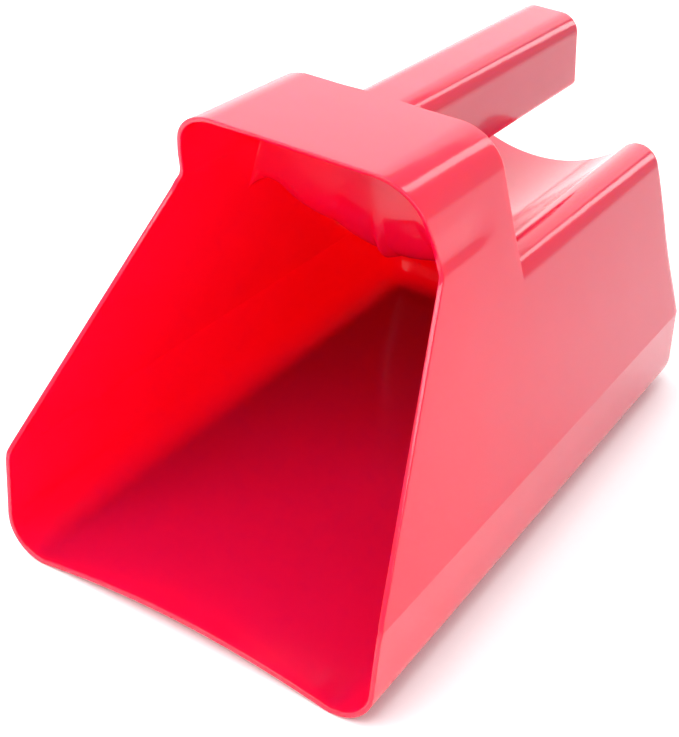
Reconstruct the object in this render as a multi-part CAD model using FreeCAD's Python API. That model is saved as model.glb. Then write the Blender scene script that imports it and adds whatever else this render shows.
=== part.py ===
import FreeCAD, Part
import math
import os

# Enclosed feed scoop: one thin-walled plastic moulding with a hollow handle.
# Frame: millimetres, +Z up. The origin is at floor level, midway across the scoop and midway
# between the mouth and the back. The mouth faces -Y and the handle runs back along +Y.
# The moulding is divided into regions at its natural bends. Neighbours meet face to face.

# ---- driving dimensions ----
width = 168.0             # across the two lower bands
height = 180.0            # floor to the top of the hood
length = 303.0            # mouth lip to the furthest point of the back wall
wall = 2.0                # skin of walls, hood, trough and handle
floor_thickness = 2.4     # heavier skin of the floor and the front lip
band_height = 46.0        # height of the upright lower band of each side
side_lean = 15.0          # degrees that each side panel leans inwards above its band
back_lean = 15.0          # degrees that the back wall leans forwards
base_radius = 17.0        # rounding between floor and side bands
back_radius = 14.0        # rounding all round the back wall
hood_radius = 20.0        # rounding along both sides of the hood's roof
brow_height = 146.5       # height where the rim of the mouth stops slanting back
brow_setback = 69.0       # how far the rim stands behind the lip at the brow
roof_setback = 54.5       # how far the roof's front edge stands behind the lip
rim_radius = 5.0          # softening of the bends of the rim seen from the side
hood_depth = 118.0        # lip to the rear edge of the hood's roof
hood_back_lean = 8.0      # degrees that the hood's rear wall slopes backwards going down
trough_radius = 62.0      # hollow for the knuckles, round an axis along Y
trough_floor = 105.5      # height of the lowest line of the trough
shoulder_radius = 11.0    # rounding of the shoulder on each side of the trough
corner_fillet = 6.0       # hollow rounding where the hood's rear wall meets the shoulders
knuckle_sweep = 36.0      # larger hollow rounding from the hood's rear wall into the trough
grip_width = 30.0         # across the top of the handle, before its edges are rounded
grip_height = 33.5        # handle's top face, which continues the roof, to its underside
grip_draft = 3.5          # degrees that each side of the handle opens out going down
grip_length = 150.5       # free length of the handle along its top
grip_end_lean = 8.0       # degrees that the handle's end slopes backwards going down
grip_top_radius = 9.0     # rounding of the handle's two upper edges
grip_base_radius = 3.0    # rounding of the handle's two lower edges
grip_end_radius = 3.5     # rounding round the handle's end face
crown_rise = 6.0          # lift of the middle of the floor at the front lip
crown_half_width = 66.0   # half the width of that lift at the lip
crown_reach = 150.0       # distance behind the lip where the floor is flat again

# ---- working sizes ----
least_radius = 0.5        # smallest rounding left inside the handle
overshoot = 20.0          # how far cutting shapes pass beyond the surfaces that they cut
far = 400.0               # well outside the scoop, for cutting regions
touching = 1e-3           # points closer than this lie on the same surface

# ---- derived places ----
lip_y = -length / 2.0
tan_side = math.tan(math.radians(side_lean))
cos_side = math.cos(math.radians(side_lean))
sin_side = math.sin(math.radians(side_lean))
tan_back = math.tan(math.radians(back_lean))
cos_back = math.cos(math.radians(back_lean))
tan_hood = math.tan(math.radians(hood_back_lean))
cos_hood = math.cos(math.radians(hood_back_lean))
sin_hood = math.sin(math.radians(hood_back_lean))
tan_end = math.tan(math.radians(grip_end_lean))
cos_end = math.cos(math.radians(grip_end_lean))
tan_draft = math.tan(math.radians(grip_draft))
cos_draft = math.cos(math.radians(grip_draft))
# the back wall's plane meets the floor's plane here; its rounded foot ends at the full length
back_foot_y = lip_y + length + back_radius * (tan_back + 1.0 / cos_back - 1.0)
hood_back_y = lip_y + hood_depth


def vec(x, y, z):
    return FreeCAD.Vector(x, y, z)


def rounded_wire(corners, radii):
    """Closed wire through the corners, each rounded by its own tangent arc (0 keeps it sharp)."""
    count = len(corners)
    entries, exits, middles = [], [], []
    for i in range(count):
        here = corners[i]
        to_prev = (corners[i - 1] - here).normalize()
        to_next = (corners[(i + 1) % count] - here).normalize()
        half = to_prev.getAngle(to_next) / 2.0
        reach = radii[i] / math.tan(half)
        entries.append(here + to_prev * reach)
        exits.append(here + to_next * reach)
        inwards = (to_prev + to_next).normalize()
        middles.append(here + inwards * (radii[i] / math.sin(half) - radii[i]))
    edges = []
    for i in range(count):
        if radii[i] > 0:
            edges.append(Part.Arc(entries[i], middles[i], exits[i]).toShape())
        start, end = exits[i], entries[(i + 1) % count]
        if (end - start).Length > 1e-6:
            edges.append(Part.makeLine(start, end))
    return Part.Wire(edges)


def along_y(wire, y0, y1):
    """Solid swept along Y from a closed wire drawn in the plane y = 0."""
    face = Part.Face(wire)
    face.translate(vec(0, y0, 0))
    return face.extrude(vec(0, y1 - y0, 0))


def across_x(corners, radii=None, x0=-far, x1=far):
    """Solid swept along X from (y, z) corners."""
    points = [vec(0, y, z) for y, z in corners]
    face = Part.Face(rounded_wire(points, radii or [0.0] * len(points)))
    face.translate(vec(x0, 0, 0))
    return face.extrude(vec(x1 - x0, 0, 0))


def block(x0, x1, y0, y1, z0, z1):
    """Box between two planes across each axis."""
    return Part.makeBox(x1 - x0, y1 - y0, z1 - z0, vec(x0, y0, z0))


def back_plane_y(z, inset=0.0):
    """Where the back wall's surface, moved inwards by inset, stands at height z."""
    return back_foot_y - z * tan_back - inset / cos_back


def hood_plane_y(z, inset=0.0):
    """Where the hood's rear surface, moved inwards by inset, stands at height z."""
    return hood_back_y + (height - z) * tan_hood - inset / cos_hood


def body_section(inset, base_z, base_r):
    """The body's cross-section, sunk by inset: upright bands, leaning panels and rounded roof."""
    half = width / 2.0 - inset
    bend = band_height - inset * math.tan(math.radians(side_lean / 2.0))
    top = height - inset
    top_half = half - (top - bend) * tan_side
    right = [(half, base_z), (half, bend), (top_half, top)]
    left = [(-x, z) for x, z in reversed(right)]
    hood_r = hood_radius - inset
    radii = [base_r, 0.0, hood_r, hood_r, 0.0, base_r]
    return rounded_wire([vec(x, 0, z) for x, z in right + left], radii)


def body_prism(inset, floor, y0):
    """The body's cross-section carried from y0 to the leaning back wall, rounded at the back."""
    prism = along_y(body_section(inset, floor, base_radius - inset), y0, far)
    prism = prism.common(across_x([
        (-far, -far), (back_plane_y(-far, inset), -far),
        (back_plane_y(far, inset), far), (-far, far)]))
    rear_face = max(prism.Faces, key=lambda face: face.CenterOfMass.y)
    return prism.makeFillet(back_radius - inset, rear_face.Edges)


def shoulder_centre():
    """Centre of the arc that touches the side panel's outside and the trough's arc."""
    axis_z = trough_floor + trough_radius
    # the centre lies on a line parallel to the side panel, one shoulder radius inside it
    start_x = width / 2.0 - shoulder_radius / cos_side
    reach = trough_radius + shoulder_radius
    # points of that line: (start_x - s * sin_side, band_height + s * cos_side)
    dz = band_height - axis_z
    b = dz * cos_side - start_x * sin_side
    c = start_x ** 2 + dz ** 2 - reach ** 2
    s = -b + math.sqrt(b * b - c)
    if band_height + s * cos_side > axis_z:
        s = -b - math.sqrt(b * b - c)
    return start_x - s * sin_side, band_height + s * cos_side


def saddle_points(inset):
    """Foot and crest of the shoulder, and where it joins the trough, with the surface sunk by inset."""
    cx, cz = shoulder_centre()
    axis_z = trough_floor + trough_radius
    radius = shoulder_radius - inset
    foot = (cx + radius * cos_side, cz + radius * sin_side)
    part = (trough_radius + inset) / math.hypot(cx, axis_z - cz)
    join = (cx * part, axis_z - (axis_z - cz) * part)
    # middle of the shoulder's arc, between its foot and where it joins the trough
    angle_join = math.atan2(join[1] - cz, join[0] - cx)
    middle_angle = (math.radians(side_lean) + angle_join) / 2.0
    crest = (cx + radius * math.cos(middle_angle), cz + radius * math.sin(middle_angle))
    return foot, crest, join


def above_saddle(inset):
    """Everything above the trough and its two shoulders, with their surface sunk by inset."""
    foot, crest, join = saddle_points(inset)
    lowest = (0.0, trough_floor - inset)

    def at(point, side=1):
        return vec(side * point[0], 0, point[1])

    edges = [
        Part.Arc(at(foot), at(crest), at(join)).toShape(),
        Part.Arc(at(join), at(lowest), at(join, -1)).toShape(),
        Part.Arc(at(join, -1), at(crest, -1), at(foot, -1)).toShape(),
        Part.makeLine(at(foot, -1), vec(-far, 0, foot[1])),
        Part.makeLine(vec(-far, 0, foot[1]), vec(-far, 0, far)),
        Part.makeLine(vec(-far, 0, far), vec(far, 0, far)),
        Part.makeLine(vec(far, 0, far), vec(far, 0, foot[1])),
        Part.makeLine(vec(far, 0, foot[1]), at(foot)),
    ]
    return along_y(Part.Wire(edges), -far, far)


def behind_hood(inset):
    """Half-space behind the hood's rear wall, whose surface is moved forwards by inset."""
    return across_x([
        (hood_plane_y(-far, inset), -far), (far, -far), (far, far), (hood_plane_y(far, inset), far)])


def sweep_corner(inset):
    """The corner under the handle, from the hood's rear wall to a large hollow across the trough."""
    middle_z = trough_floor + knuckle_sweep
    middle_y = hood_plane_y(middle_z) + knuckle_sweep / cos_hood
    corner = across_x([
        (middle_y, middle_z), (middle_y - far * cos_hood, middle_z - far * sin_hood),
        (middle_y - far * cos_hood, -far), (middle_y, -far)])
    hollow = Part.makeCylinder(
        knuckle_sweep + inset, 2.0 * far, vec(-far, middle_y, middle_z), vec(1, 0, 0))
    return corner.cut(hollow)


def saddle_tool(inset):
    """What the trough removes behind the hood, with a rounded foot along the hood's rear wall."""
    tool = above_saddle(inset).common(behind_hood(inset))
    feet = []
    for edge in tool.Edges:
        middle = edge.valueAt((edge.FirstParameter + edge.LastParameter) / 2.0)
        on_hood = abs(middle.y - hood_plane_y(middle.z, inset)) < touching
        if on_hood and middle.z < height and abs(middle.x) < width / 2.0:
            feet.append(edge)
    return tool.makeFillet(corner_fillet + inset, feet).cut(sweep_corner(inset))


def mouth_keep():
    """Everything behind the rim of the mouth, whose outline bends twice when seen from the side."""
    slope = (roof_setback - brow_setback) / (height - brow_height)
    top = height + overshoot
    corners = [
        (lip_y, -overshoot), (lip_y, band_height), (lip_y + brow_setback, brow_height),
        (lip_y + roof_setback + slope * overshoot, top), (far, top), (far, -overshoot)]
    return across_x(corners, [0.0, rim_radius, rim_radius, 0.0, 0.0, 0.0])


def crowned_floor(solid):
    """Lifts the middle of the floor at the lip, fading to flat towards the back."""
    radius = (crown_half_width ** 2 + crown_rise ** 2) / (2.0 * crown_rise)
    fall = vec(0, crown_reach, -crown_rise)
    start = vec(0, lip_y, crown_rise - radius) - fall
    hollow = Part.makeCylinder(radius, 3.0 * fall.Length, start, fall)
    lifted = Part.makeCylinder(radius + floor_thickness, 3.0 * fall.Length, start, fall)
    flat_half = width / 2.0 - base_radius
    slab = block(-flat_half, flat_half, lip_y, lip_y + crown_reach, 0, band_height)
    return solid.fuse(lifted.common(slab)).cut(hollow)


def grip_section(inset):
    """Cross-section of the handle: flat top with rounded edges, sides opening out downwards."""
    top = height - inset
    base = height - grip_height + inset
    side = grip_width / 2.0 - inset / cos_draft
    top_half = side + inset * tan_draft
    base_half = side + (grip_height - inset) * tan_draft
    corners = [(base_half, base), (top_half, top), (-top_half, top), (-base_half, base)]
    base_r = max(grip_base_radius - inset, least_radius)
    radii = [base_r, grip_top_radius - inset, grip_top_radius - inset, base_r]
    return rounded_wire([vec(x, 0, z) for x, z in corners], radii)


def grip_end_y(z, inset=0.0):
    """Where the handle's end face, moved inwards by inset, stands at height z."""
    return hood_back_y + grip_length + (height - z) * tan_end - inset / cos_end


def grip_solid(inset, y0):
    """The handle's outer form (inset 0) or its hollow (inset by the wall), from y0 to its end."""
    bar = along_y(grip_section(inset), y0, far)
    bar = bar.common(across_x([
        (-far, -far), (grip_end_y(-far, inset), -far), (grip_end_y(far, inset), far), (-far, far)]))
    end_face = max(bar.Faces, key=lambda face: face.CenterOfMass.y)
    return bar.makeFillet(max(grip_end_radius - inset, least_radius), end_face.Edges)


def moulded_body():
    """The whole open-mouthed body: outside less inside, without its handle."""
    outside = body_prism(0.0, 0.0, lip_y - overshoot).cut(saddle_tool(0.0))
    inside = body_prism(wall, floor_thickness, -far).cut(saddle_tool(wall))
    body = crowned_floor(outside.cut(inside))
    return body.common(mouth_keep())


def regions():
    """Divides the moulding at its bends and returns each named region."""
    body = moulded_body()
    foot, crest, join = saddle_points(wall)
    seam_z = foot[1]
    join_x = join[0]
    rear = behind_hood(0.0)
    interior = along_y(body_section(wall, -far, 0.0), -far, far)

    skin_zone = block(-far, far, -far, far, seam_z, far).cut(rear).cut(interior)
    bulkhead_zone = block(-far, far, -far, far, band_height, far).cut(rear).common(interior)
    saddle_zone = above_saddle(wall).common(rear)
    hood_skin = body.common(skin_zone)
    saddle = body.common(saddle_zone)
    lower = body.cut(skin_zone).cut(bulkhead_zone).cut(saddle_zone)

    hollow = grip_solid(wall, hood_back_y - hood_depth / 2.0)
    hood_back = body.common(bulkhead_zone).cut(hollow)
    roof_z = height - hood_radius * (1.0 - sin_side)
    roof_zone = block(-far, far, -far, far, roof_z, far)
    cheeks = hood_skin.cut(roof_zone)

    grip = grip_solid(0.0, hood_back_y - hood_depth / 2.0).common(rear).cut(hollow)
    end_skin = grip_end_radius + wall
    end_zone = across_x([
        (grip_end_y(-far, end_skin), -far), (far * 2, -far),
        (far * 2, far), (grip_end_y(far, end_skin), far)])

    floor_zone = block(-far, far, -far, far, -far, base_radius)
    upper = lower.cut(floor_zone)
    back_zone = across_x([
        (back_plane_y(-far, back_radius), -far), (far * 2, -far), (far * 2, far),
        (back_plane_y(far, back_radius), far)])
    sides = upper.cut(back_zone)
    left = block(-far, 0, -far, far, -far, far)
    right = block(0, far, -far, far, -far, far)
    low = block(-far, far, -far, far, -far, band_height)
    trough_zone = block(-join_x, join_x, -far, far, -far, far)

    return {
        "floor_pan": lower.common(floor_zone),
        "left_lower_band": sides.common(left).common(low),
        "right_lower_band": sides.common(right).common(low),
        "left_side_panel": sides.common(left).cut(low),
        "right_side_panel": sides.common(right).cut(low),
        "back_wall": upper.common(back_zone),
        "knuckle_trough": saddle.common(trough_zone),
        "left_shoulder": saddle.common(left).cut(trough_zone),
        "right_shoulder": saddle.common(right).cut(trough_zone),
        "hood_roof": hood_skin.common(roof_zone),
        "left_hood_cheek": cheeks.common(left),
        "right_hood_cheek": cheeks.common(right),
        "hood_back": hood_back,
        "handle_grip": grip.cut(end_zone),
        "handle_end": grip.common(end_zone),
    }


os.makedirs("parts", exist_ok=True)
for name, region in regions().items():
    region.removeSplitter().exportStep("parts/" + name + ".step")
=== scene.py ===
import math

import bpy
import numpy as np
from mathutils import Matrix, Vector


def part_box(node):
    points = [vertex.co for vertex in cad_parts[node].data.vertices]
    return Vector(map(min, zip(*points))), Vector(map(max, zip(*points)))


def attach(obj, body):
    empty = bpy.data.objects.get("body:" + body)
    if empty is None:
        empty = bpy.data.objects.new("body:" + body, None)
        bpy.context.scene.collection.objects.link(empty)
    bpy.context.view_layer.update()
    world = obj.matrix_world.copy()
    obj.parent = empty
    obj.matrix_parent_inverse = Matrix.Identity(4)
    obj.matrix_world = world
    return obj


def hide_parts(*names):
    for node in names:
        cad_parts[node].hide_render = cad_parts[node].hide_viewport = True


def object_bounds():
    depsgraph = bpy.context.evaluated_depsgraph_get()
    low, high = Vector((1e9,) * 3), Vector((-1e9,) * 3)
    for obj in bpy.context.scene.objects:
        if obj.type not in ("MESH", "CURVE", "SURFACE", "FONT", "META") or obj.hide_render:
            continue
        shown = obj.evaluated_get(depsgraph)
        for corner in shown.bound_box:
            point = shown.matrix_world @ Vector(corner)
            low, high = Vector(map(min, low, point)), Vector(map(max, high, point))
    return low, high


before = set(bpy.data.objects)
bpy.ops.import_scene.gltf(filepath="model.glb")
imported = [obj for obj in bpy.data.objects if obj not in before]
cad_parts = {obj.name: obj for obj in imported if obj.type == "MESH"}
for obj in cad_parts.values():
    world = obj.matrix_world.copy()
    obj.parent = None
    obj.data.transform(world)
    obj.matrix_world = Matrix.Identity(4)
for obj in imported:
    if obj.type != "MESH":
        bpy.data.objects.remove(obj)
bpy.context.view_layer.update()
cad_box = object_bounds()

# ---------------------------------------------------------------------------------------------
# Scoop moulding: body, hood, knuckle trough and hollow handle.
# All one thin-walled injection moulding in red polyethylene, so it is one closed surface here:
# an outside and an inside made by the same patches, joined by the rounded rim of the mouth.
# ---------------------------------------------------------------------------------------------
MM = 0.001


def node_mm(node):
    """A node's lowest and highest corner in millimetres."""
    low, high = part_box(node)
    return np.array(low) / MM, np.array(high) / MM


wall, floor_wall = 2.0, 2.4          # skin of the moulding, and its heavier floor and lip
half_width = node_mm("right_lower_band")[1][0]
lip_y = node_mm("floor_pan")[0][1]
back_y = node_mm("floor_pan")[1][1]
bend_z = node_mm("left_lower_band")[1][2]
roof_z = node_mm("hood_roof")[1][2]
hood_y = node_mm("handle_grip")[0][1]       # the hood's rear wall at the level of the roof
grip_low_z = node_mm("handle_grip")[0][2]
grip_end_y = node_mm("handle_end")[1][1]
trough_z = node_mm("knuckle_trough")[0][2] + wall

side_lean = math.radians(15.0)      # side panels and back wall, inwards going up
hood_lean = math.radians(8.0)       # the hood's rear wall and the handle's end, forwards going up
draft = math.radians(3.5)           # the handle's sides
brow_z, brow_back = 146.5, 69.0     # where the rim stops slanting back, and how far back that is
roof_back = 54.5                    # the roof's front edge behind the lip
trough_radius = 62.0
shoulder_radius = 11.0
grip_half = 15.0                    # half the handle's width at its top
crown_rise, crown_half, crown_reach = 6.0, 66.0, 150.0
tuck = 0.9                          # step in the hood's cheeks at the brow
tuck_rise, tuck_return = 3.6, 13.0  # heights over which the cheek steps in and comes back
tuck_keep, tuck_fade = 20.0, 22.0   # how far behind the brow it stays whole, then fades out
rim_round = 0.8                     # how far the rim's rounding stands in front of its cut
rim_square = 0.55                   # power that squares the rim's rounding; 1 is a half circle
bend_soft, brow_soft = 4.0, 5.0     # half heights of the rim's soft turns at bend and brow
panel_soft = 14.0                   # half height over which the side panel takes its lean
sweep_keep, sweep_fade = 12.0, 42.0  # half width of the hood's full sweep, then of its fading
back_full_z = 70.0                  # up to here the back wall's rounding has its full radius
end_share = 0.72                    # share of the shoulder's radius that rounds its rear end
foot_share = 0.8                    # share of the room beside the panel that a rounding may fill
beside_handle = 3.0                 # the trough's columns under the handle reach this much wider

# skin, lift of the floor, and roundings of the outside and of the inside
OUTSIDE = dict(skin=0.0, floor=0.0, base=17.0, bend=2.5, hood=20.0, back=14.0, brink=2.6,
               edge=1.2, foot=5.0, sweep=36.0, root=3.0, grip_top=9.0, grip_base=3.0,
               grip_end=3.5)
INSIDE = dict(skin=wall, floor=floor_wall, base=15.0, bend=4.0, hood=18.0, back=12.0, brink=4.0,
              edge=0.8, foot=7.0, sweep=38.0, root=1.8, grip_top=7.0, grip_base=1.6,
              grip_end=1.6)

# rows of points along the scoop
HOOD_STEPS, SADDLE_STEPS, BACK_STEPS = 26, 30, 24
HOLLOW_STEPS, BRINK_STEPS, EDGE_STEPS, END_STEPS, CAP_STEPS = 13, 11, 7, 8, 7
UNDER_WALL_STEPS, RIM_STEPS = 13, 11
# points of the section lines
UNDER_GRIP, BESIDE_GRIP = 22, 84    # the trough under the handle and beside it
FLOOR_POINTS, BASE_POINTS, BAND_POINTS, BEND_POINTS = 34, 14, 12, 5
ROOF_POINTS, HOOD_POINTS, SHOULDER_POINTS = 24, 30, 40
GRIP_TOP, GRIP_EDGE, GRIP_FACE, GRIP_LOW = 7, 14, 10, 5     # half the handle's section
ROOT_FADE, WALL_FADE = 12.0, 24.0   # columns over which the handle's root rounding and wall blend


def straight(start, end, count):
    """Evenly spaced points of the line from start to end, without the last."""
    t = np.linspace(0.0, 1.0, count, endpoint=False)[:, None]
    return np.array(start) * (1 - t) + np.array(end) * t


def arc(centre, radius, angle0, angle1, count):
    """Points centre + radius * (cos a, sin a), a evenly from angle0 to angle1, without the last."""
    a = np.linspace(angle0, angle1, count, endpoint=False)
    return np.array(centre) + radius * np.stack([np.cos(a), np.sin(a)], -1)


def section_normals(line, first, last):
    """Unit normals of a section line: (dz, -dx) / length, with both ends given."""
    step = np.gradient(line, axis=0)
    normal = np.stack([step[:, 1], -step[:, 0]], -1)
    normal /= np.linalg.norm(normal, axis=1, keepdims=True)
    normal[0], normal[-1] = first, last
    return normal


def ease(t):
    """Smooth step from 0 to 1: 3 t^2 - 2 t^3, held outside 0 to 1."""
    t = np.clip(t, 0.0, 1.0)
    return t * t * (3.0 - 2.0 * t)


def bent(z, at, slope_change, reach):
    """Depth added above the height `at`: slope_change per millimetre, starting as a parabola
    that spreads `reach` to either side of the bend."""
    u = z - at
    parabola = (u + reach) ** 2 / (4.0 * reach)
    return slope_change * np.where(u < -reach, 0.0, np.where(u > reach, u, parabola))


def rim_y(z):
    """The mouth's rim seen from the side: upright at the bands, slanting back, then forwards."""
    slant = brow_back / (brow_z - bend_z)
    forward = (roof_back - brow_back) / (roof_z - brow_z)
    front = lip_y + rim_round + bent(z, bend_z, slant, bend_soft)
    return front + bent(z, brow_z, forward - slant, brow_soft)


def crown(x, y):
    """Lift of the floor: a shallow arch across, highest at the lip and gone at crown_reach."""
    across = np.clip(1.0 - (x / crown_half) ** 2, 0.0, None)
    along_y = np.clip(1.0 - (y - lip_y) / crown_reach, 0.0, 1.0)
    return crown_rise * across * along_y ** 1.3


def corner_rows(line, towards, radius, wall, hollow, steps):
    """Rounding from a surface that runs along Y into a leaning wall, as rows of points.
    The wall is y = depth - slope z. Seen along the surface, it leans by m = slope * towards_z.
    A circle touches both: its points are radius (1 - cos a) along `towards`, and
    radius sin a from its middle in depth, which stands radius sqrt(1 + m^2) off the wall."""
    depth, slope = wall
    sign = -1.0 if hollow else 1.0
    m = slope * towards[:, 1]
    a = np.linspace(0.0, 1.0, steps)[:, None] * (math.pi / 2.0 + sign * np.arctan(m))
    radius = np.broadcast_to(radius, len(line))
    middle = depth - slope * line[:, 1] - m * radius - sign * radius * np.sqrt(1.0 + m * m)
    xz = line[None] + (radius * (1.0 - np.cos(a)))[..., None] * towards[None]
    return np.stack([xz[..., 0], middle + sign * radius * np.sin(a), xz[..., 1]], -1)


def along(line, y0, y1, steps):
    """Rows of a section line carried along Y from y0 to y1, which may differ for each point."""
    t = np.linspace(0.0, 1.0, steps)[:, None]
    y = np.broadcast_to(y0, len(line)) * (1 - t) + np.broadcast_to(y1, len(line)) * t
    x, z = np.broadcast_to(line[:, 0], y.shape), np.broadcast_to(line[:, 1], y.shape)
    return np.stack([x, y, z], -1)


def tucked(grid):
    """The hood's cheeks step in a little at the brow's height, which shows as a crease.
    Each point moves inwards by tuck, easing in over tuck_rise of height, easing out over
    tuck_return above it, and fading over tuck_fade along Y before the hood's rear edge."""
    y, z = grid[..., 1], grid[..., 2]
    above = z - brow_z + tuck_rise / 2.0
    step = ease(above / tuck_rise) * (1.0 - ease((above - tuck_rise) / tuck_return))
    grid[..., 0] -= tuck * step * (1.0 - ease((y - lip_y - brow_back - tuck_keep) / tuck_fade))
    return grid


def moulding_side(size):
    """Right half of the moulding's outside or inside, as a list of point grids.
    The first three start at the mouth's rim: skirt, hood and the middle of the roof."""
    skin = size["skin"]
    half = half_width - skin
    roof = roof_z - skin
    bend_at = bend_z - skin * math.tan(side_lean / 2.0)
    sine, cosine, tangent = math.sin(side_lean), math.cos(side_lean), math.tan(side_lean)
    stand_off = OUTSIDE["back"] * (tangent + 1.0 / cosine - 1.0)
    back = (back_y + stand_off - skin / cosine, tangent)
    hood_slope = math.tan(hood_lean)
    hood_back = (hood_y + roof_z * hood_slope - skin / math.cos(hood_lean), hood_slope)

    # the shoulder is a circle that touches the side panel and the trough's circle
    axis_z = trough_z + trough_radius
    start_x = half_width - shoulder_radius / cosine
    drop = bend_z - axis_z
    b = drop * cosine - start_x * sine
    apart = trough_radius + shoulder_radius
    reach = -b - math.sqrt(b * b - start_x ** 2 - drop ** 2 + apart ** 2)
    centre = (start_x - reach * sine, bend_z + reach * cosine)
    shoulder = shoulder_radius - skin
    trough = trough_radius + skin
    foot = (centre[0] + shoulder * cosine, centre[1] + shoulder * sine)
    side_out = (cosine, sine)

    # section lines, each from the middle of the scoop to the foot of the shoulder
    count = UNDER_GRIP + BESIDE_GRIP - 1
    base, bend_r = size["base"], size["bend"]
    turn = bend_r * math.tan(side_lean / 2.0)
    skirt = np.concatenate([
        straight((0.0, size["floor"]), (half - base, size["floor"]), FLOOR_POINTS),
        arc((half - base, size["floor"] + base), base, -math.pi / 2.0, 0.0, BASE_POINTS),
        straight((half, size["floor"] + base), (half, bend_at - turn), BAND_POINTS),
        arc((half - bend_r, bend_at - turn), bend_r, 0.0, side_lean, BEND_POINTS),
        straight((half - turn * sine, bend_at + turn * cosine), foot,
                 count - FLOOR_POINTS - BASE_POINTS - BAND_POINTS - BEND_POINTS - 1),
        [foot]])
    skirt[0, 0] = 0.0
    top_half = half - (roof - bend_at) * tangent
    turn = size["hood"] * math.tan((math.pi / 2.0 - side_lean) / 2.0)
    grip_flat = grip_half - OUTSIDE["grip_top"]
    hood = np.concatenate([
        straight((grip_flat, roof), (top_half - turn, roof), ROOF_POINTS),
        arc((top_half - turn, roof - size["hood"]), size["hood"], math.pi / 2.0, side_lean,
            HOOD_POINTS),
        straight((top_half + turn * sine, roof - turn * cosine), foot,
                 BESIDE_GRIP - ROOF_POINTS - HOOD_POINTS - 1),
        [foot]])
    under_angle = -math.pi / 2.0 + math.asin((grip_half + beside_handle) / trough)
    join_angle = -math.pi / 2.0 + math.atan2(centre[0], axis_z - centre[1])
    saddle = np.concatenate([
        arc((0.0, axis_z), trough, -math.pi / 2.0, under_angle, UNDER_GRIP - 1),
        arc((0.0, axis_z), trough, under_angle, join_angle, BESIDE_GRIP - SHOULDER_POINTS - 1),
        arc(centre, shoulder, join_angle + math.pi, side_lean, SHOULDER_POINTS),
        [foot]])
    saddle[0, 0] = 0.0

    # trough and shoulder, from the hollow corner at the hood to the brink of the back wall
    saddle_out = -section_normals(saddle, (0.0, -1.0), (-cosine, -sine))
    beside = np.linspace(0.0, 1.0, count)
    full_sweep = 1.0 - ease((saddle[:, 0] - sweep_keep) / sweep_fade)
    foot_r = size["foot"] + (size["sweep"] - size["foot"]) * full_sweep
    # near its foot the rounding shrinks so that it never stands proud of the side panel
    turned = np.clip(saddle_out @ np.array(side_out), 0.2, 1.0)
    foot_r = np.minimum(foot_r, foot_share * shoulder * (1.0 - turned) / turned)
    end_r = end_share * shoulder
    brink_r = size["brink"] + (end_r - size["brink"]) * ease((beside - 0.70) / 0.30)
    hollow_rows = corner_rows(saddle, saddle_out, foot_r, hood_back, True, HOLLOW_STEPS)[::-1]
    brink_rows = corner_rows(saddle, -saddle_out, brink_r, back, False, BRINK_STEPS)
    trough_rows = along(saddle, hollow_rows[-1][:, 1], brink_rows[0][:, 1], SADDLE_STEPS)
    top = np.concatenate([hollow_rows, trough_rows[1:], brink_rows[1:]])

    # side panel, band and floor, from the mouth to the rounding into the back wall
    skirt_out = section_normals(skirt, (0.0, -1.0), side_out)
    tilt = side_lean * ease((skirt[:, 1] - bend_at + panel_soft) / (2.0 * panel_soft))
    soft_out = np.stack([np.cos(tilt), np.sin(tilt)], -1)
    skirt_out = np.where((skirt[:, 1] > size["floor"] + base)[:, None], soft_out, skirt_out)
    near_foot = ease((skirt[:, 1] - back_full_z) / (foot[1] - back_full_z))
    back_r = size["back"] + (end_r - size["back"]) * near_foot
    rear_rows = corner_rows(skirt, -skirt_out, back_r, back, False, BRINK_STEPS)
    middle_y = hood_back[0] - hood_back[1] * foot[1]
    front = along(skirt, rim_y(skirt[:, 1]), middle_y, HOOD_STEPS)
    behind = along(skirt, middle_y, rear_rows[0][:, 1], SADDLE_STEPS)
    body = np.concatenate([front, behind[1:], rear_rows[1:]])
    body[..., 2] += crown(body[..., 0], body[..., 1]) * (body[..., 2] < size["floor"] + 1.0)

    # hood: cheek and roof, then the crisp edge onto its rear wall
    hood_out = -section_normals(hood, (0.0, -1.0), (-cosine, -sine))
    to_foot = np.linspace(0.0, 1.0, BESIDE_GRIP)
    edge_r = size["edge"] * ease(to_foot / 0.15) * ease((1.0 - to_foot) / 0.2)
    edge_rows = corner_rows(hood, -hood_out, edge_r, hood_back, False, EDGE_STEPS)
    hood_rows = along(hood, rim_y(hood[:, 1]), edge_rows[0][:, 1], HOOD_STEPS)
    roof_line = np.concatenate([straight((0.0, roof), (grip_flat, roof), GRIP_TOP - 1), hood[:1]])
    roof_end_y = hood_back[0] - hood_back[1] * roof
    roof_middle = along(roof_line, rim_y(roof_line[:, 1]), roof_end_y, HOOD_STEPS)

    # back wall, ruled from the rounding of the skirt up to the brink of the trough
    t = np.linspace(0.0, 1.0, BACK_STEPS)[:, None, None]
    back_wall = body[-1][None] * (1 - t) + top[-1][None] * t

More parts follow.
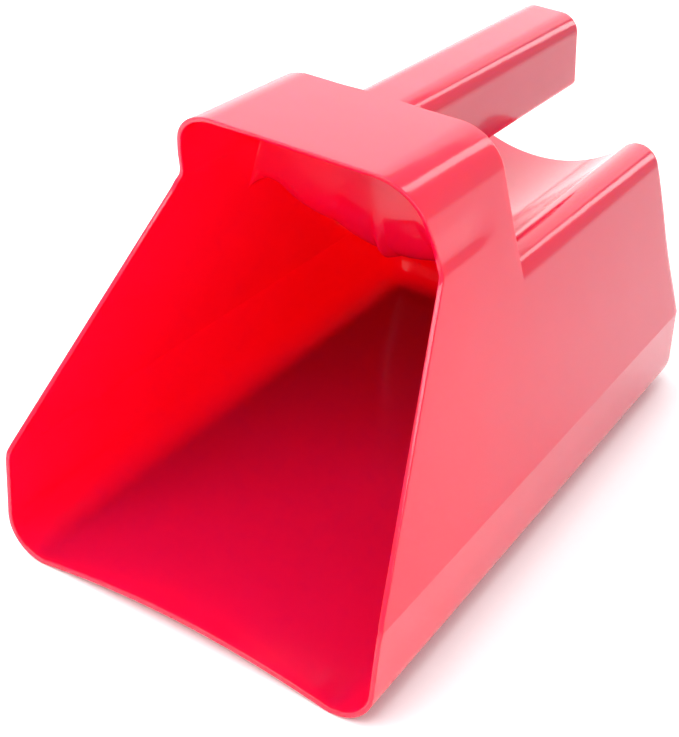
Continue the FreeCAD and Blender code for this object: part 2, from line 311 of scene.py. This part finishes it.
    # handle: half its section, down from the middle of its top and back along its underside
    low_z = grip_low_z + skin
    edge_r, base_r = size["grip_top"], size["grip_base"]
    side_x = grip_flat + edge_r * math.cos(draft)
    side_z = roof - edge_r - edge_r * math.sin(draft)
    base_turn = base_r * (1.0 - math.sin(draft))
    low_x = side_x + (side_z - low_z) * math.tan(draft) - base_turn / math.cos(draft)
    down = -math.pi / 2.0
    grip = np.concatenate([
        roof_line[:-1],
        arc((grip_flat, roof - edge_r), edge_r, math.pi / 2.0, -draft, GRIP_EDGE),
        straight((side_x, side_z), (low_x + base_r * math.cos(draft), low_z + base_turn), GRIP_FACE),
        arc((low_x, low_z + base_r), base_r, -draft, down / 2.0, GRIP_LOW),
        arc((low_x, low_z + base_r), base_r, down / 2.0, down, GRIP_LOW - 1),
        straight((low_x, low_z), (0.0, low_z), UNDER_GRIP - GRIP_LOW),
        [(0.0, low_z)]])
    grip_out = -section_normals(grip, (0.0, -1.0), (0.0, 1.0))
    root_r = size["root"] * ease((np.arange(len(grip)) - GRIP_TOP + 1) / ROOT_FADE)
    root_rows = corner_rows(grip, grip_out, root_r, hood_back, True, EDGE_STEPS)[::-1]
    end_stand = OUTSIDE["grip_end"] * (hood_slope + 1.0 / math.cos(hood_lean) - 1.0)
    end = (grip_end_y + end_stand + grip_low_z * hood_slope - skin / math.cos(hood_lean), hood_slope)
    end_rows = corner_rows(grip, -grip_out, size["grip_end"], end, False, END_STEPS)
    bar_rows = along(grip, root_rows[-1][:, 1], end_rows[0][:, 1], SADDLE_STEPS)
    hub_z = (roof + low_z) / 2.0
    hub = np.array([0.0, end[0] - end[1] * hub_z, hub_z])
    t = np.linspace(1.0, 0.0, CAP_STEPS)[1:, None, None]
    cap_rows = hub + (end_rows[-1][None] - hub) * t
    handle = np.concatenate([root_rows, bar_rows[1:], end_rows[1:], cap_rows])

    # the hood's rear wall round the handle: under it, then beside it
    lowest = GRIP_TOP + GRIP_EDGE + GRIP_FACE + GRIP_LOW - 1
    beside_grip = root_rows[0][GRIP_TOP - 1:lowest + 1]
    below_grip = root_rows[0][lowest:][::-1]
    t = np.linspace(0.0, 1.0, UNDER_WALL_STEPS)[:, None, None]
    under_wall = below_grip[None] * (1 - t) + hollow_rows[0][None, :UNDER_GRIP] * t
    left = np.concatenate([beside_grip, under_wall[1:, -1]])
    upper, lower = edge_rows[-1], hollow_rows[0][UNDER_GRIP - 1:]
    v = ((upper[0, 2] - left[:, 2]) / (upper[0, 2] - lower[0, 2]))[:, None, None]
    ruled = upper[None] * (1 - v) + lower[None] * v
    fade = np.clip(1.0 - np.arange(BESIDE_GRIP) / WALL_FADE, 0.0, None)[None, :, None]
    beside_wall = ruled + fade * (left[:, None] - ruled[:, :1])
    beside_wall[..., 1] = hood_back[0] - hood_back[1] * beside_wall[..., 2]
    hood_grid = np.concatenate([hood_rows, edge_rows[1:]])
    return [body[:, ::-1], tucked(hood_grid), roof_middle, top, back_wall[:, ::-1], handle,
            under_wall, beside_wall]


def rim_between(outer, inner):
    """Rounded rim from the outer edge to the inner one: half a squared circle standing forwards.
    With p for rim_square, cos(a)^p runs across from one edge to the other, and the rim stands
    forwards by rim_round * sin(a)^p."""
    a = np.linspace(0.0, math.pi, RIM_STEPS)[:, None, None]
    across = np.sign(np.cos(a)) * np.abs(np.cos(a)) ** rim_square
    rim = (outer + inner) / 2.0 + across * (outer - inner) / 2.0
    rim[..., 1] -= (rim_round * np.sin(a) ** rim_square)[..., 0]
    return rim


WELD_GRID = 0.002                   # points that share a cell of this size become one


def welded(grids):
    """Points and faces of all the grids. Points are rounded to cells of WELD_GRID, and those in
    one cell are made one, so a quad with two corners in one cell becomes a triangle."""
    points, quads, first = [], [], 0
    for grid, flip in grids:
        number = first + np.arange(grid.shape[0] * grid.shape[1]).reshape(grid.shape[:2])
        corners = [number[:-1, :-1], number[:-1, 1:], number[1:, 1:], number[1:, :-1]]
        quad = np.stack(corners, -1).reshape(-1, 4)
        quads.append(quad[:, ::-1] if flip else quad)
        points.append(grid.reshape(-1, 3))
        first += number.size
    points, quads = np.concatenate(points), np.concatenate(quads)
    keys = np.floor(points / WELD_GRID + 0.5).astype(np.int64)
    _, keep, where = np.unique(keys, axis=0, return_index=True, return_inverse=True)
    quads = where.reshape(-1)[quads]
    same = quads == np.roll(quads, -1, axis=1)
    thin = same.sum(axis=1) == 1
    order = (np.argmax(same[thin], axis=1)[:, None] + 1 + np.arange(3)) % 4
    triangles = np.take_along_axis(quads[thin], order, axis=1)
    return points[keep], quads[~same.any(axis=1)].tolist() + triangles.tolist()


outside = moulding_side(OUTSIDE)
inside = moulding_side(INSIDE)
grids = [(grid, False) for grid in outside] + [(grid, True) for grid in inside]
grids += [(rim_between(outer[0], inner[0]), True) for outer, inner in zip(outside[:3], inside[:3])]
grids += [(grid * (-1.0, 1.0, 1.0), not flip) for grid, flip in grids]
points, faces = welded(grids)
scoop_mesh = bpy.data.meshes.new("scoop_moulding")
scoop_mesh.from_pydata((points * MM).tolist(), [], faces)
scoop = bpy.data.objects.new("scoop_moulding", scoop_mesh)
bpy.context.collection.objects.link(scoop)
scoop_mesh.shade_smooth()
normals = scoop.modifiers.new("broad faces stay flat", "WEIGHTED_NORMAL")
normals.mode = "FACE_AREA"
normals.weight = 60
normals.keep_sharp = False

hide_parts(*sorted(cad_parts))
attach(scoop, "root")


def linear(code):
    """An sRGB hex colour as linear red, green, blue and an alpha of one."""
    parts = [int(code[i:i + 2], 16) / 255.0 for i in (1, 3, 5)]
    return [p / 12.92 if p <= 0.04045 else ((p + 0.055) / 1.055) ** 2.4 for p in parts] + [1.0]


def add(tree, kind, settings=None, inputs=None):
    """Adds a node with its settings; an input is a value, or an output socket to link from."""
    node = tree.nodes.new(kind)
    for name, value in (settings or {}).items():
        setattr(node, name, value)
    for name, value in (inputs or {}).items():
        if isinstance(value, bpy.types.NodeSocket):
            tree.links.new(value, node.inputs[name])
        else:
            node.inputs[name].default_value = value
    return node


# Moulded polyethylene: glossy and slightly waxy, dyed right through. Red light travels through
# it for about a centimetre, so the inside glows. The polished mould left a faint swirl of
# colour, shallow waves and a fine grain, which break the gloss up a little.
PE_RED = linear("#DB0A3D")
PE_DEEP_RED = linear("#D30839")
FLOW_SIZE = 0.035                   # metres: patches of colour where the melt flowed
SCUFF_SIZE = 0.012                  # metres: patches of handling wear in the gloss
WAVE_LENGTH, WAVE_DEPTH = 0.028, 0.0004     # metres: broad sink waves of a cooled flat wall
GRAIN_SIZE, GRAIN_DEPTH = 0.0009, 0.00006   # metres: grain of the mould, drawn coarse to show
LIGHT_PATH = 0.012                  # metres that red light travels in the plastic
plastic = bpy.data.materials.new("moulded_polyethylene_red")
plastic.use_nodes = True
tree = plastic.node_tree
tree.nodes.clear()
place = add(tree, "ShaderNodeTexCoord").outputs["Object"]
flow = add(tree, "ShaderNodeTexNoise", None,
           {"Vector": place, "Scale": 1.0 / FLOW_SIZE, "Detail": 3.0, "Roughness": 0.55})
tone = add(tree, "ShaderNodeMix", {"data_type": "RGBA"},
           {0: flow.outputs["Fac"], 6: PE_DEEP_RED, 7: PE_RED})
scuff = add(tree, "ShaderNodeTexNoise", None,
            {"Vector": place, "Scale": 1.0 / SCUFF_SIZE, "Detail": 6.0, "Roughness": 0.7})
gloss = add(tree, "ShaderNodeMapRange", None,
            {"Value": scuff.outputs["Fac"], "From Min": 0.35, "From Max": 0.75,
            "To Min": 0.08, "To Max": 0.14})
sink = add(tree, "ShaderNodeTexNoise", None,
           {"Vector": place, "Scale": 1.0 / WAVE_LENGTH, "Detail": 1.0})
grain = add(tree, "ShaderNodeTexNoise", None,
            {"Vector": place, "Scale": 1.0 / GRAIN_SIZE, "Detail": 2.0})
waves = add(tree, "ShaderNodeBump", None,
            {"Height": sink.outputs["Fac"], "Strength": 0.35, "Distance": WAVE_DEPTH})
skin = add(tree, "ShaderNodeBump", None,
           {"Height": grain.outputs["Fac"], "Strength": 0.12, "Distance": GRAIN_DEPTH,
            "Normal": waves.outputs["Normal"]})
surface = add(tree, "ShaderNodeBsdfPrincipled", None,
              {"Base Color": tone.outputs[2], "Roughness": gloss.outputs["Result"], "IOR": 1.51,
               "Subsurface Weight": 1.0, "Subsurface Radius": (1.0, 0.06, 0.06),
               "Subsurface Scale": LIGHT_PATH,
               "Normal": skin.outputs["Normal"]})
add(tree, "ShaderNodeOutputMaterial", None, {"Surface": surface.outputs["BSDF"]})
scoop_mesh.materials.append(plastic)

# ---------------------------------------------------------------------------------------------
# Floor: a pale matt card, laid flat under the scoop, which stands free on its own flat base.
# ---------------------------------------------------------------------------------------------
FLOOR_HALF = 4.0                    # metres
CARD_DROP = 0.0002                  # metres below the scoop's base, so the two never coincide
CARD_WHITE, CARD_SHADE = linear("#F7F7F8"), linear("#F5F5F6")
floor_mesh = bpy.data.meshes.new("floor_card")
corner_x = np.array([-1.0, 1.0, 1.0, -1.0]) * FLOOR_HALF
corner_y = np.array([-1.0, -1.0, 1.0, 1.0]) * FLOOR_HALF
corners = np.stack([corner_x, corner_y, np.full(4, -CARD_DROP)], -1)
floor_mesh.from_pydata(corners.tolist(), [], [(0, 1, 2, 3)])
floor = bpy.data.objects.new("floor_card", floor_mesh)
bpy.context.collection.objects.link(floor)
card = bpy.data.materials.new("matt_card")
card.use_nodes = True
tree = card.node_tree
tree.nodes.clear()
place = add(tree, "ShaderNodeTexCoord").outputs["Object"]
fibre = add(tree, "ShaderNodeTexNoise", None,
            {"Vector": place, "Scale": 1.0 / 0.004, "Detail": 4.0})
shade = add(tree, "ShaderNodeMix", {"data_type": "RGBA"},
            {0: fibre.outputs["Fac"], 6: CARD_SHADE, 7: CARD_WHITE})
surface = add(tree, "ShaderNodeBsdfPrincipled", None,
              {"Base Color": shade.outputs[2], "Roughness": 0.9, "Specular IOR Level": 0.1})
add(tree, "ShaderNodeOutputMaterial", None, {"Surface": surface.outputs["BSDF"]})
floor_mesh.materials.append(card)

# ---------------------------------------------------------------------------------------------
# Studio light: a pale surround, soft panels above, at the left, in front and behind to the
# left, and a narrow upright strip behind that draws the bright lines along the roundings.
# ---------------------------------------------------------------------------------------------
middle = (cad_box[0] + cad_box[1]) / 2.0


def soft_panel(name, azimuth, elevation, distance, size, radiance):
    """A rectangular light that faces the scoop from a compass angle: 0 is behind it, 90 its right.
    Its power is radiance * area * pi, which makes it look that bright."""
    az, el = math.radians(azimuth), math.radians(elevation)
    out = Vector((math.sin(az) * math.cos(el), math.cos(az) * math.cos(el), math.sin(el)))
    lamp = bpy.data.lights.new(name, "AREA")
    lamp.shape = "RECTANGLE"
    lamp.size, lamp.size_y = size
    lamp.energy = radiance * size[0] * size[1] * math.pi
    holder = bpy.data.objects.new(name, lamp)
    holder.rotation_euler = out.to_track_quat("Z", "Y").to_euler()
    holder.location = middle + out * distance
    bpy.context.collection.objects.link(holder)


soft_panel("panel above", 0.0, 86.0, 1.4, (1.0, 1.0), 1.6)
soft_panel("panel left", -88.0, 35.0, 1.5, (1.2, 1.2), 2.6)
soft_panel("panel in front", -165.0, 48.0, 1.5, (1.2, 1.0), 5.4)
soft_panel("panel behind left", -21.0, 18.0, 1.8, (1.9, 1.25), 1.15)
soft_panel("strip behind", 19.0, 27.0, 1.8, (0.22, 0.9), 3.6)
world = bpy.data.worlds.new("studio surround")
world.use_nodes = True
world.node_tree.nodes["Background"].inputs["Color"].default_value = (1.0, 1.0, 1.0, 1.0)
world.node_tree.nodes["Background"].inputs["Strength"].default_value = 0.82
bpy.context.scene.world = world
bpy.context.scene.view_settings.view_transform = "Standard"

# ---------------------------------------------------------------------------------------------
# Camera: held in the hand at the front right, a little tilted.
# ---------------------------------------------------------------------------------------------
azimuth, elevation, roll = math.radians(28.842), math.radians(31.643), math.radians(5.706)
back = Vector((math.sin(azimuth) * math.cos(elevation), -math.cos(azimuth) * math.cos(elevation),
               math.sin(elevation)))
right = Vector((math.cos(azimuth), math.sin(azimuth), 0.0))
up = back.cross(right)
right, up = (right * math.cos(roll) + up * math.sin(roll), up * math.cos(roll) - right * math.sin(roll))
eye = Vector((0.2345, -0.4723, 0.3665))
camera_data = bpy.data.cameras.new("camera")
camera_data.sensor_fit = "HORIZONTAL"
camera_data.sensor_width = 36.0
camera_data.lens = 74.59
camera = bpy.data.objects.new("camera", camera_data)
turned = Matrix((right, up, back)).transposed().to_4x4()
camera.matrix_world = Matrix.Translation(eye) @ turned
bpy.context.collection.objects.link(camera)
bpy.context.scene.camera = camera

bpy.context.view_layer.update()
